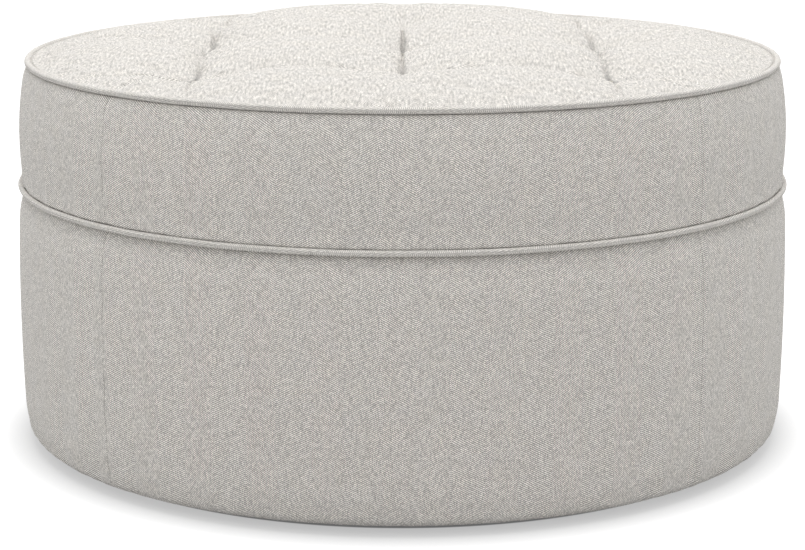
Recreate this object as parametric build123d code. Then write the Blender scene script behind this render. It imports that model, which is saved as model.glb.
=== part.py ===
from build123d import *
import math
import os

# A round, drum-shaped ottoman with a blind-tufted top. Sizes are in millimetres.
# The origin is on the floor under the middle of the drum, +Z is up and the front faces -Y.

# Heights of the covers
FLOOR_GAP = 10.0  # from the floor to the lower edge of the body cover
BODY_HEIGHT = 296.0  # from that edge to the middle seam
BOXING_HEIGHT = 141.0  # from the middle seam to the top seam
PILLOW_HEIGHT = 38.0  # of a pillow between four tufts, above the top seam
ROLL_HEIGHT = 25.5  # of the roll between the outer tufts and the rim

# The covers' outside, where an inset is how far one place lies inside another
BODY_RADIUS = 460.0  # the body's widest
SHOULDER_INSET = 2.0  # where the body starts to turn in to the middle seam
SHOULDER_HEIGHT = 40.0
SHOULDER_BOW = 2.4
FOOT_INSET = 1.6  # where the body starts to turn under the base
FOOT_HEIGHT = 40.0
FOOT_BOW = 6.0
UNDER_INSET = 14.0  # where the body lies flat under the base
MIDDLE_WELT_INSET = 2.8  # the middle welt inside the body's widest
TOP_SEAM_INSET = 2.9  # the boxing's top inside its foot
BOXING_BOW = 7.4
TOP_WELT_INSET = 1.1  # the top welt inside the boxing's top

# Cloth, seams and welts
FABRIC = 1.5
PLY_GAP = 0.3  # between pieces that lie on each other
SEAM_ALLOWANCE = 12.0
STAPLE_MARGIN = 28.0  # of the body cover that lies flat under the base ring
CORD_DIAMETER = 4.0
WELT_SIDES = 10  # flats round a welt
DUST_COVER = 0.8
DUST_COVER_INSET = 9.0  # of its edge inside the body cover's turn

# Tufts
TUFT_ROWS = 3
TUFT_INSET = 114.1  # of a corner tuft inside the rim
PILLOW_RADIUS = 320.0  # of the ball that a pillow is a cap of
ROLL_INSET = 120.0  # of the roll's crest inside the rim
DISH_RADIUS = 85.0  # of the ball that hollows the top at a tuft
CORNER_DISH_RADIUS = 175.0  # the same at the corners, where it holds the roll down
VALLEY_LIFT = 0.8  # of the cloth between the pillows above the bottom of a tuft
RIM_DROP = 1.0  # of the top cover's edge below the top of its welt
TWINE_DIAMETER = 2.4
TWINE_CLEARANCE = 0.4
STITCH_RADIUS = 3.5
STITCH_HEIGHT = 1.6
KNOT_RADIUS = 4.5
KNOT_HEIGHT = 6.0
WASHER_RADIUS = 16.0
WASHER_THICKNESS = 1.6
DECK_HOLE_RADIUS = 5.0

# Frame
SIDE_FOAM = 25.0  # where the body is widest
SKIN = 3.0
SKIN_JOINT = 1.0  # between the ends of the two skins
RING_PLY = 18.0
DECK_PLY = 15.0
DECK_LEVEL = 6.0  # of the deck board's top below the middle seam
BASE_RING_WIDTH = 75.0
WASHER_CLEARANCE = 6.0  # from a corner tuft's washer to the deck ring
POSTS = 8
POST_WIDTH = 38.0
RAIL_WIDTH = 60.0

# Glides and screws
GLIDES = 4
GLIDE_RADIUS = 15.0
GLIDE_FOOT_RADIUS = 12.0
GLIDE_EDGE = 5.0
GLIDE_RECESS_RADIUS = 5.0
GLIDE_RECESS = 4.0
SCREW_RADIUS = 2.0
SCREW_HEAD_RADIUS = 4.0
SCREW_HEAD = 2.6
SCREW_CLEARANCE = 0.1
SCREW_TIP = 4.0
GLIDE_SCREW_LENGTH = 16.0
POST_SCREW_LENGTH = 50.0
OVERRUN = 5.0  # of a cut past the face that it opens

# Levels and radii that follow from those
WELT_DIAMETER = CORD_DIAMETER + 2 * (FABRIC + PLY_GAP)
WELT_RADIUS = WELT_DIAMETER / 2
TAIL = 2 * FABRIC
MIDDLE_SEAM = FLOOR_GAP + BODY_HEIGHT
TOP_SEAM = MIDDLE_SEAM + BOXING_HEIGHT
UNDER_RADIUS = BODY_RADIUS - UNDER_INSET
MIDDLE_WELT_RADIUS = BODY_RADIUS - MIDDLE_WELT_INSET
PINCH_RADIUS = MIDDLE_WELT_RADIUS - WELT_DIAMETER - PLY_GAP
TOP_SEAM_RADIUS = PINCH_RADIUS - TOP_SEAM_INSET
TOP_WELT_RADIUS = TOP_SEAM_RADIUS - TOP_WELT_INSET
BODY_TOP = MIDDLE_SEAM - TAIL / 2 - PLY_GAP
BOXING_FOOT = MIDDLE_SEAM + TAIL / 2 + PLY_GAP
PLY_STEP = FABRIC + PLY_GAP
FRAME_FOOT = FLOOR_GAP + PLY_STEP
DECK_TOP = MIDDLE_SEAM - DECK_LEVEL
DECK_FOOT = DECK_TOP - DECK_PLY
DECK_RING_FOOT = DECK_FOOT - RING_PLY
POST_FOOT = FRAME_FOOT + RING_PLY
SKIN_RADIUS = BODY_RADIUS - PLY_STEP - SIDE_FOAM - PLY_GAP
FRAME_RADIUS = SKIN_RADIUS - SKIN - PLY_GAP
RIM_RADIUS = TOP_WELT_RADIUS - WELT_DIAMETER - PLY_GAP
RIM_FOOT = TOP_SEAM + PLY_GAP + TAIL + PLY_GAP
RIM_TOP = TOP_SEAM + PLY_GAP + WELT_DIAMETER - RIM_DROP
CROWN_TOP = TOP_SEAM + PILLOW_HEIGHT
PILLOW_CENTRE = CROWN_TOP - PILLOW_RADIUS
ROLL_RADIUS = RIM_RADIUS - ROLL_INSET
ROLL_TOP = TOP_SEAM + ROLL_HEIGHT
ROLL_RISE = ROLL_TOP - RIM_TOP
ROLL_ARC = (ROLL_INSET**2 + ROLL_RISE**2) / (2 * ROLL_RISE)
ROLL_CENTRE = ROLL_TOP - ROLL_ARC
TUFT_LEVEL = TOP_SEAM + PLY_STEP
DUST_FOOT = FLOOR_GAP - PLY_GAP - DUST_COVER
GLIDE_TOP = DUST_FOOT - PLY_GAP
TUFT_CORNER = RIM_RADIUS - TUFT_INSET
TUFT_SPAN = TUFT_CORNER / math.sqrt(2)
TUFT_PITCH = 2 * TUFT_SPAN / (TUFT_ROWS - 1)
TUFT_PLACES = [
    (TUFT_PITCH * column - TUFT_SPAN, TUFT_PITCH * row - TUFT_SPAN)
    for row in range(TUFT_ROWS)
    for column in range(TUFT_ROWS)
]
DECK_RING_BORE = TUFT_CORNER + WASHER_RADIUS + WASHER_CLEARANCE
POST_PLACE = math.sqrt(FRAME_RADIUS**2 - (POST_WIDTH / 2) ** 2) - POST_WIDTH / 2
QUARTERS = ["right", "back", "left", "front"]


def section(*lines):
    """A face in the upright plane through the middle, from lines given as (radius, height)."""
    return make_face(Plane.XZ * Curve([edge for line in lines for edge in line.edges()]))


def turned(*lines):
    """The whole ring or disc that a section sweeps round the middle."""
    return revolve(section(*lines), Axis.Z)


def quarter(name, *lines):
    """A panel that reaches from one upright seam to the next, a ply gap short of it."""
    share = 360 / len(QUARTERS)
    gap_angle = math.degrees(PLY_GAP / BODY_RADIUS)
    swept = revolve(section(*lines), Axis.Z, revolution_arc=share - gap_angle)
    return Rot(0, 0, share * (QUARTERS.index(name) - 0.5) + gap_angle / 2) * swept


def box_ring(inner, outer, foot, top):
    """A plain ring, or a disc where the inner radius is zero."""
    corners = [(inner, foot), (outer, foot), (outer, top), (inner, top)]
    return turned(Polyline(*corners, close=True))


def around(count, radius, start=0.0):
    """Places evenly round the middle."""
    return [Rot(0, 0, start + 360 * step / count) * Pos(radius, 0, 0) for step in range(count)]


def group(solids):
    """Like pieces that share one node and stay apart."""
    return Compound(children=list(solids))


def body_side(inset):
    """The body cover's side from its top seam down to its flat underside, moved in by an inset."""
    top = (PINCH_RADIUS - inset, BODY_TOP - inset)
    shoulder = (BODY_RADIUS - SHOULDER_INSET - inset, BODY_TOP - SHOULDER_HEIGHT)
    foot = (BODY_RADIUS - FOOT_INSET - inset, FLOOR_GAP + FOOT_HEIGHT)
    under = (UNDER_RADIUS, FLOOR_GAP + inset)
    bow = (SHOULDER_INSET + FOOT_INSET) / 2
    return [
        SagittaArc(top, shoulder, SHOULDER_BOW),
        SagittaArc(shoulder, foot, bow),
        SagittaArc(foot, under, FOOT_BOW),
    ]


def boxing_side(inset):
    """The boxing's side from its foot to the top seam, moved in by an inset."""
    foot = (PINCH_RADIUS - inset, BOXING_FOOT + inset)
    top = (TOP_SEAM_RADIUS - inset, TOP_SEAM - inset)
    return [SagittaArc(foot, top, -BOXING_BOW)]


def body_panel(name):
    """A quarter of the body cover, with its seam allowance above and its stapled edge below."""
    allowance = PINCH_RADIUS - SEAM_ALLOWANCE
    staple_edge = UNDER_RADIUS - STAPLE_MARGIN
    return quarter(
        name,
        *body_side(0),
        Polyline(
            (UNDER_RADIUS, FLOOR_GAP),
            (staple_edge, FLOOR_GAP),
            (staple_edge, FLOOR_GAP + FABRIC),
            (UNDER_RADIUS, FLOOR_GAP + FABRIC),
        ),
        *body_side(FABRIC),
        Polyline(
            (PINCH_RADIUS - FABRIC, BODY_TOP - FABRIC),
            (allowance, BODY_TOP - FABRIC),
            (allowance, BODY_TOP),
            (PINCH_RADIUS, BODY_TOP),
        ),
    )


def boxing_panel(name):
    """A quarter of the boxing, with a seam allowance turned in at its foot and at its top."""
    foot_allowance = PINCH_RADIUS - SEAM_ALLOWANCE
    top_allowance = TOP_SEAM_RADIUS - SEAM_ALLOWANCE
    return quarter(
        name,
        *boxing_side(0),
        Polyline(
            (TOP_SEAM_RADIUS, TOP_SEAM),
            (top_allowance, TOP_SEAM),
            (top_allowance, TOP_SEAM - FABRIC),
            (TOP_SEAM_RADIUS - FABRIC, TOP_SEAM - FABRIC),
        ),
        *boxing_side(FABRIC),
        Polyline(
            (PINCH_RADIUS - FABRIC, BOXING_FOOT + FABRIC),
            (foot_allowance, BOXING_FOOT + FABRIC),
            (foot_allowance, BOXING_FOOT),
            (PINCH_RADIUS, BOXING_FOOT),
        ),
    )


def round_ring(radius, height, thickness):
    """A ring of round section, drawn with flats."""
    flats = RegularPolygon(thickness, WELT_SIDES, rotation=180 / WELT_SIDES)
    return revolve(Plane.XZ * Pos(radius, height) * flats, Axis.Z)


def welt_cover(outer_radius, height, tail_foot):
    """The bias strip round a cord, with its two edges laid together as a tail inside the seam."""
    middle = outer_radius - WELT_RADIUS
    tail = box_ring(middle - WELT_RADIUS - SEAM_ALLOWANCE, middle, tail_foot, tail_foot + TAIL)
    roll = round_ring(middle, height, WELT_RADIUS)
    return roll + tail - round_ring(middle, height, CORD_DIAMETER / 2 + PLY_GAP)


def welt_cord(outer_radius, height):
    """The cord inside a welt."""
    return round_ring(outer_radius - WELT_RADIUS, height, CORD_DIAMETER / 2)


def roll(inset, foot):
    """The roll inside the rim, a ring under one arc that comes down to the rim's top."""
    arc = ROLL_ARC - inset
    width = math.sqrt(arc**2 - (foot - ROLL_CENTRE) ** 2)
    inner = (ROLL_RADIUS - width, foot)
    outer = (ROLL_RADIUS + width, foot)
    return turned(ThreePointArc(inner, (ROLL_RADIUS, ROLL_TOP - inset), outer), Line(outer, inner))


def pillows(inset):
    """The ball of each pillow, in the middle of four tufts."""
    middles = [TUFT_PITCH * (step + 1 / 2) - TUFT_SPAN for step in range(TUFT_ROWS - 1)]
    return [Pos(x, y, PILLOW_CENTRE) * Sphere(PILLOW_RADIUS - inset) for y in middles for x in middles]


def dishes(inset):
    """The ball that each tuft takes out of the top."""
    radii = [CORNER_DISH_RADIUS if x and y else DISH_RADIUS for x, y in TUFT_PLACES]
    return [
        Pos(x, y, TUFT_LEVEL + radius) * Sphere(radius + inset)
        for (x, y), radius in zip(TUFT_PLACES, radii)
    ]


def crown(inset, foot, edge_foot, hem):
    """The pillows and the roll, down to a foot and outside the hem only to the edge's own foot."""
    rim = RIM_RADIUS - inset
    above = CROWN_TOP + OVERRUN
    corners = [(0, foot), (hem, foot), (hem, edge_foot), (rim, edge_foot), (rim, above), (0, above)]
    return turned(Polyline(*corners, close=True)) & (roll(inset, foot - OVERRUN) + pillows(inset))


def twine_holes(foot, top, radius):
    """A straight hole at each tuft."""
    return [
        Pos(x, y, foot) * Cylinder(radius, top - foot, align=(Align.CENTER, Align.CENTER, Align.MIN))
        for x, y in TUFT_PLACES
    ]


def top_cover():
    """The tufted cloth, turned in at the rim, one cloth thick all over."""
    hem = RIM_RADIUS - SEAM_ALLOWANCE
    foot = TOP_SEAM - OVERRUN
    valley = TUFT_LEVEL + VALLEY_LIFT
    outside = crown(0, foot, RIM_FOOT, hem) + box_ring(0, ROLL_RADIUS, foot, valley)
    inside = crown(FABRIC, foot, RIM_FOOT + FABRIC, hem) + box_ring(0, ROLL_RADIUS, foot, valley - FABRIC)
    hole = TWINE_DIAMETER / 2 + TWINE_CLEARANCE
    cloth = (outside - dishes(0)) - (inside - dishes(FABRIC))
    return cloth - twine_holes(TOP_SEAM, CROWN_TOP, hole)


def crown_pad():
    """The soft pad under the top cover, its pillows and its roll parted by an opening at each tuft."""
    hem = RIM_RADIUS - SEAM_ALLOWANCE - PLY_GAP
    return crown(PLY_STEP, TOP_SEAM + PLY_GAP, RIM_FOOT + PLY_STEP, hem) - dishes(PLY_STEP)


def seat_foam():
    """The thick round foam on the deck, relieved at both seams and drilled for the twines."""
    notch = BOXING_FOOT + PLY_STEP
    shelf = TOP_SEAM - PLY_STEP
    shelf_radius = RIM_RADIUS - SEAM_ALLOWANCE - PLY_GAP
    block = turned(
        *boxing_side(PLY_STEP),
        Polyline(
            (TOP_SEAM_RADIUS - PLY_STEP, shelf),
            (shelf_radius, shelf),
            (shelf_radius, TOP_SEAM),
            (0, TOP_SEAM),
            (0, DECK_TOP),
            (SKIN_RADIUS, DECK_TOP),
            (SKIN_RADIUS, notch),
            (PINCH_RADIUS - PLY_STEP, notch),
        ),
    )
    return block - twine_holes(DECK_TOP, TOP_SEAM, DECK_HOLE_RADIUS)


def body_foam():
    """The foam wrapped round the drum under the body cover."""
    inner = SKIN_RADIUS + PLY_GAP
    return turned(
        *body_side(PLY_STEP),
        Polyline(
            (UNDER_RADIUS, FRAME_FOOT),
            (inner, FRAME_FOOT),
            (inner, BODY_TOP - PLY_STEP),
            (PINCH_RADIUS - PLY_STEP, BODY_TOP - PLY_STEP),
        ),
    )


def skin(start):
    """Half of the bent hardboard drum."""
    joint_angle = math.degrees(SKIN_JOINT / FRAME_RADIUS)
    inner = FRAME_RADIUS + PLY_GAP
    corners = [(inner, FRAME_FOOT), (SKIN_RADIUS, FRAME_FOOT), (SKIN_RADIUS, DECK_TOP), (inner, DECK_TOP)]
    swept = revolve(section(Polyline(*corners, close=True)), Axis.Z, revolution_arc=180 - joint_angle)
    return Rot(0, 0, start + joint_angle / 2) * swept


def post_spots():
    """The places of the posts, whose outer corners lie on the frame's radius."""
    return around(POSTS, POST_PLACE, 180 / POSTS)


def post():
    """An upright between the rings."""
    height = DECK_RING_FOOT - POST_FOOT
    block = Box(POST_WIDTH, POST_WIDTH, height, align=(Align.CENTER, Align.CENTER, Align.MIN))
    return Pos(0, 0, POST_FOOT) * block


def deck_rail(side):
    """A rail across the deck ring's opening, midway between two columns of tufts."""
    opening = box_ring(0, DECK_RING_BORE - PLY_GAP, DECK_RING_FOOT, DECK_FOOT)
    length = 2 * DECK_RING_BORE
    bar = Box(RAIL_WIDTH, length, RING_PLY, align=(Align.CENTER, Align.CENTER, Align.MIN))
    return opening & Pos(side * TUFT_PITCH / 2, 0, DECK_RING_FOOT) * bar


def twine(place):
    """A tufting twine: its stitch on the cloth, its straight run and its knot under the washer."""
    x, y = place
    radius = TWINE_DIAMETER / 2
    stitch_foot = TUFT_LEVEL + PLY_GAP
    knot_top = DECK_FOOT - WASHER_THICKNESS - PLY_GAP
    knot_middle = knot_top - KNOT_HEIGHT / 2
    outline = Polyline(
        (0, stitch_foot + STITCH_HEIGHT),
        (STITCH_RADIUS, stitch_foot),
        (radius, stitch_foot),
        (radius, knot_top),
        (KNOT_RADIUS, knot_middle),
        (radius, knot_top - KNOT_HEIGHT),
        (0, knot_top - KNOT_HEIGHT),
        close=True,
    )
    return Pos(x, y, 0) * turned(outline)


def washer(place):
    """The washer that spreads a twine's pull under the deck board."""
    x, y = place
    bore = TWINE_DIAMETER / 2 + TWINE_CLEARANCE
    return Pos(x, y, 0) * box_ring(bore, WASHER_RADIUS, DECK_FOOT - WASHER_THICKNESS, DECK_FOOT)


def screw(length, grown=0.0):
    """A countersunk wood screw, its head's face at height zero and its point up."""
    shank = SCREW_RADIUS + grown
    head = SCREW_HEAD_RADIUS + grown
    corners = [(0, 0), (head, 0), (shank, SCREW_HEAD), (shank, length - SCREW_TIP), (0, length)]
    return turned(Polyline(*corners, close=True))


def glide_spots():
    """The places of the glides, under the middle of the base ring."""
    return around(GLIDES, FRAME_RADIUS - BASE_RING_WIDTH / 2, 180 / GLIDES)


def glide_screws(grown=0.0):
    """The screw of each glide, or with some growth the hole for it."""
    raised = Pos(0, 0, GLIDE_RECESS)
    return [spot * raised * screw(GLIDE_SCREW_LENGTH, grown) for spot in glide_spots()]


def glide():
    """A plastic foot with a rounded edge and a recess that hides its screw's head."""
    corners = [
        (0, GLIDE_TOP),
        (0, GLIDE_RECESS),
        (GLIDE_RECESS_RADIUS, GLIDE_RECESS),
        (GLIDE_RECESS_RADIUS, 0),
        (GLIDE_FOOT_RADIUS, 0),
    ]
    edge = RadiusArc((GLIDE_FOOT_RADIUS, 0), (GLIDE_RADIUS, GLIDE_EDGE), -GLIDE_EDGE)
    side = Polyline((GLIDE_RADIUS, GLIDE_EDGE), (GLIDE_RADIUS, GLIDE_TOP), (0, GLIDE_TOP))
    return turned(Polyline(*corners), edge, side)


def frame_pieces():
    """The plywood and timber drum, screwed through both rings into the posts."""
    upward = Pos(0, 0, FRAME_FOOT) * screw(POST_SCREW_LENGTH)
    downward = Pos(0, 0, DECK_TOP) * Rot(180, 0, 0) * screw(POST_SCREW_LENGTH)
    base_screws = [spot * upward for spot in post_spots()]
    deck_screws = [spot * downward for spot in post_spots()]
    base_ring = box_ring(FRAME_RADIUS - BASE_RING_WIDTH, FRAME_RADIUS, FRAME_FOOT, POST_FOOT)
    deck_ring = box_ring(DECK_RING_BORE, FRAME_RADIUS, DECK_RING_FOOT, DECK_FOOT)
    deck_board = box_ring(0, FRAME_RADIUS, DECK_FOOT, DECK_TOP)
    board_holes = twine_holes(DECK_FOOT, DECK_TOP, DECK_HOLE_RADIUS)
    pieces = {
        "base_ring": base_ring - base_screws - glide_screws(),
        "deck_ring": deck_ring - deck_screws,
        "deck_board": deck_board - deck_screws - board_holes,
        "left_deck_rail": deck_rail(-1),
        "right_deck_rail": deck_rail(1),
        "front_skin": skin(180),
        "back_skin": skin(0),
        "base_screws": group(base_screws),
        "deck_screws": group(deck_screws),
    }
    for number, spot in enumerate(post_spots(), 1):
        pieces[f"post_{number}"] = spot * (post() - upward - downward)
    return pieces


def soft_pieces():
    """The foams, the pad and every piece of cloth."""
    middle_tail = MIDDLE_SEAM - TAIL / 2
    top_welt_height = TOP_SEAM + PLY_GAP + WELT_RADIUS
    pieces = {
        "top_cover": top_cover(),
        "crown_pad": crown_pad(),
        "seat_foam": seat_foam(),
        "body_foam": body_foam(),
        "top_welt_cover": welt_cover(TOP_WELT_RADIUS, top_welt_height, TOP_SEAM + PLY_GAP),
        "top_welt_cord": welt_cord(TOP_WELT_RADIUS, top_welt_height),
        "middle_welt_cover": welt_cover(MIDDLE_WELT_RADIUS, MIDDLE_SEAM, middle_tail),
        "middle_welt_cord": welt_cord(MIDDLE_WELT_RADIUS, MIDDLE_SEAM),
        "tuft_twines": group(twine(place) for place in TUFT_PLACES),
        "tuft_washers": group(washer(place) for place in TUFT_PLACES),
    }
    for name in QUARTERS:
        pieces[f"{name}_boxing_panel"] = boxing_panel(name)
        pieces[f"{name}_body_panel"] = body_panel(name)
    return pieces


def base_pieces():
    """The dust cover and the glides with their screws."""
    edge = UNDER_RADIUS - DUST_COVER_INSET
    dust_cover = box_ring(0, edge, DUST_FOOT, DUST_FOOT + DUST_COVER)
    glides = [spot * glide() for spot in glide_spots()]
    holes = glide_screws(SCREW_CLEARANCE)
    return {
        "dust_cover": dust_cover - holes,
        "glides": group(body - hole for body, hole in zip(glides, holes)),
        "glide_screws": group(glide_screws()),
    }


os.makedirs("parts", exist_ok=True)
for name, shape in {**frame_pieces(), **soft_pieces(), **base_pieces()}.items():
    export_step(shape, f"parts/{name}.step")
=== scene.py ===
"""A round ottoman with a tufted top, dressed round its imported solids."""

import math

import bmesh
import bpy
import numpy as np
from bpy.props import FloatProperty, FloatVectorProperty, PointerProperty
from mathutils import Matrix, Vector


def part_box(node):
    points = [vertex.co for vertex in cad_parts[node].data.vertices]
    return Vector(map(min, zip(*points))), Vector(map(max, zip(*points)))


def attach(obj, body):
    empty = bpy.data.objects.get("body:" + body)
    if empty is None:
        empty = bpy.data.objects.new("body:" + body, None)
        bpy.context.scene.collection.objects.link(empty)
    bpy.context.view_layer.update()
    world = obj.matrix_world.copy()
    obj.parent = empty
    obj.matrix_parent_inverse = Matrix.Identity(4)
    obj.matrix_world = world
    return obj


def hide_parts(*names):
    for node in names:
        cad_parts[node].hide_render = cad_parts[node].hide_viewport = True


bl_info = {
    "name": "Round tufted ottoman",
    "version": (1, 0, 0),
    "blender": (4, 5, 0),
    "location": "3D View > Sidebar > Ottoman",
    "description": "Dresses the packed solids of a round tufted ottoman in cloth, welts and thread",
    "category": "Object",
}

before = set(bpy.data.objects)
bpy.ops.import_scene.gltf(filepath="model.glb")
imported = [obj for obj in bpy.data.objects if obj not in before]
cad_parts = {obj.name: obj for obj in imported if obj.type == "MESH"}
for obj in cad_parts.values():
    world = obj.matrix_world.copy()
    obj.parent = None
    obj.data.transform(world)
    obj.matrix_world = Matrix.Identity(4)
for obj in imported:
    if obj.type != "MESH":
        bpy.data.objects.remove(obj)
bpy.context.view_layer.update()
SIDES = ("right", "back", "left", "front")


def low(node):
    """A node's lowest point."""
    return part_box(node)[0].z


def high(node):
    """A node's highest point."""
    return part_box(node)[1].z


def reach(node):
    """How far a round node reaches from the middle."""
    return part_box(node)[1].x


# Sizes and colours


def length(name, description, default):
    """A size in metres."""
    return FloatProperty(name=name, description=description, default=default, unit="LENGTH")


def colour(name, description, default):
    """A colour, linear."""
    return FloatVectorProperty(
        name=name, description=description, default=default, subtype="COLOR", size=3, min=0, max=1
    )


class OttomanSizes(bpy.types.PropertyGroup):
    """Sizes of the covers, the welts and the tufts."""

    floor_gap: length("Floor gap", "From the floor to the body cover", low("front_body_panel"))
    body_radius: length("Body radius", "Where the body is widest", -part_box("front_body_panel")[0].y)
    body_top: length("Body top", "Height of the body cover's upper edge", high("front_body_panel"))
    boxing_foot: length("Boxing foot", "Height of the boxing's lower edge", low("front_boxing_panel"))
    top_seam: length("Top seam", "Height of the boxing's upper edge", high("front_boxing_panel"))
    rim_radius: length("Rim radius", "Of the top cover at its welt", reach("top_cover"))
    crown: length("Crown", "Height of the pillows above the top seam", 0.0378)
    cloth: length("Cloth", "Thickness of the cloth", 0.0015)
    ply_gap: length("Ply gap", "Between pieces that lie on each other", 0.0003)
    pinch_inset: length("Pinch inset", "Of both covers at the middle seam", 0.0107)
    boxing_inset: length("Boxing inset", "Of the boxing's top inside its foot", 0.0029)
    boxing_bow: length("Boxing bow", "How far the boxing bellies out", 0.0040)
    under_inset: length("Under inset", "Where the body lies flat under the base", 0.014)
    staple_margin: length("Staple margin", "Of the body cover under the base", 0.028)
    allowance: length("Seam allowance", "Cloth behind each seam", 0.012)
    welt: length("Welt", "Radius of a welt", 0.0035)
    top_lap: length("Top lap", "How far the top welt stands out over the boxing", 0.0012)
    tuft_span: length("Tuft span", "From the middle tuft to the next row", reach("tuft_washers") - 0.016)


class OttomanColours(bpy.types.PropertyGroup):
    """Colours of the yarns and of the other finishes."""

    light_yarn: colour("Light yarn", "The warp of the cover", (0.985, 0.957, 0.924))
    dark_yarn: colour("Dark yarn", "The weft of the cover", (0.403, 0.386, 0.364))
    foam: colour("Foam", "The seat's and the side's foam", (0.80, 0.72, 0.50))
    dust: colour("Dust cloth", "The cloth under the base", (0.018, 0.018, 0.020))
    glide: colour("Glide", "The moulded feet", (0.035, 0.033, 0.032))
    plywood: colour("Plywood", "The rings and the deck", (0.56, 0.39, 0.22))
    timber: colour("Timber", "The posts", (0.60, 0.42, 0.24))
    hardboard: colour("Hardboard", "The bent skins", (0.19, 0.10, 0.052))
    steel: colour("Steel", "Screws, washers and staples", (0.62, 0.61, 0.58))
    thread: colour("Thread", "Tufting twine", (0.66, 0.62, 0.55))


# Nodes


class Socket:
    """A node's output. Arithmetic on it adds Math nodes to its tree."""

    def __init__(self, tree, output):
        self.tree = tree
        self.output = output

    def math(self, operation, *values):
        return self.tree.add("ShaderNodeMath", {"operation": operation}, dict(enumerate(values)))

    def __add__(self, other):
        return self.math("ADD", self, other)

    def __sub__(self, other):
        return self.math("SUBTRACT", self, other)

    def __rsub__(self, other):
        return self.math("SUBTRACT", other, self)

    def __mul__(self, other):
        return self.math("MULTIPLY", self, other)

    def __truediv__(self, other):
        return self.math("DIVIDE", self, other)

    def __pow__(self, other):
        return self.math("POWER", self, other)

    def __lt__(self, other):
        return self.math("LESS_THAN", self, other)

    def __gt__(self, other):
        return self.math("GREATER_THAN", self, other)

    __radd__ = __add__
    __rmul__ = __mul__

    def floor(self):
        return self.math("FLOOR", self)

    def fract(self):
        return self.math("FRACT", self)

    def sine(self):
        return self.math("SINE", self)

    def absolute(self):
        return self.math("ABSOLUTE", self)

    def zigzag(self, width):
        return self.math("PINGPONG", self, width)

    def clamp(self, lowest, highest):
        return self.math("MINIMUM", self.math("MAXIMUM", self, lowest), highest)


class Tree:
    """A node tree that is written one call a node."""

    def __init__(self, tree):
        self.tree = tree

    def add(self, kind, settings=None, values=None, out=0):
        """Adds a node, sets it, fills its sockets and gives one of its outputs."""
        node = self.tree.nodes.new(kind)
        for key, value in (settings or {}).items():
            setattr(node, key, value)
        for key, value in (values or {}).items():
            if isinstance(value, Socket):
                self.tree.links.new(value.output, node.inputs[key])
            else:
                node.inputs[key].default_value = value
        return Socket(self, node.outputs[out]) if len(node.outputs) else node

    def vector(self, operation, *values):
        return self.add("ShaderNodeVectorMath", {"operation": operation}, dict(enumerate(values)))

    def scaled(self, vector, factor):
        """A vector or colour times one value."""
        return self.add("ShaderNodeVectorMath", {"operation": "SCALE"}, {0: vector, 3: factor})

    def blend(self, factor, first, second, mode="MIX"):
        """Mixes two colours."""
        settings = {"data_type": "RGBA", "blend_type": mode}
        return self.add("ShaderNodeMix", settings, {0: factor, 6: first, 7: second}, 2)

    def parts(self, vector):
        """The three parts of a vector."""
        first = self.add("ShaderNodeSeparateXYZ", {}, {0: vector})
        return [Socket(self, output) for output in first.output.node.outputs]

    def join(self, x, y, z=0.0):
        return self.add("ShaderNodeCombineXYZ", {}, {0: x, 1: y, 2: z})

    def noise(self, place, scale, detail=2.0, roughness=0.5):
        values = {"Vector": place, "Scale": scale, "Detail": detail, "Roughness": roughness}
        return self.add("ShaderNodeTexNoise", {}, values)


class Paint(Tree):
    """A material with one shader."""

    def __init__(self, name):
        self.material = bpy.data.materials.new(name)
        self.material.use_nodes = True
        super().__init__(self.material.node_tree)
        self.tree.nodes.clear()
        self.place = self.add("ShaderNodeTexCoord", {}, {}, out="Object")
        self.uv = Socket(self, self.place.output.node.outputs["UV"])

    def tinted(self, rgb, factor):
        """A fixed colour made lighter or darker by a varying factor."""
        return self.scaled(tuple(rgb), factor)

    def finish(self, colour, height=None, depth=0.001, **constants):
        """Ends the material in a Principled shader; height in parts of depth."""
        names = {key: key.replace("_", " ").title().replace("Ior", "IOR") for key in constants}
        values = {names[key]: value for key, value in constants.items()}
        values["Base Color"] = colour
        if height is not None:
            bump = {"Strength": 1.0, "Distance": depth, "Height": height}
            values["Normal"] = self.add("ShaderNodeBump", {}, bump)
        shader = self.add("ShaderNodeBsdfPrincipled", {}, values)
        self.add("ShaderNodeOutputMaterial", {}, {"Surface": shader})
        return self.material


def rgba(rgb):
    """A colour as a socket takes it."""
    return (*rgb, 1.0)


# Finishes

finishes = {}  # by material slot
WARP = 0.00102  # between warp yarns
PICK = 0.00056  # between weft yarns
CHEVRON = 36  # warp yarns in half a herringbone column
CHEVRON_START = 0.0135  # of a valley from the panel's middle
STRAY_ACROSS = 0.0016  # how far the warp strays
STRAY_ALONG = 0.0022  # and the weft
HEATHER = (620.0, 150.0)  # changes of shade a metre, across and along
SLUBS = (370.0, 105.0)  # thick places a metre, across and along
WEAVE_RELIEF = 0.00032


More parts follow.
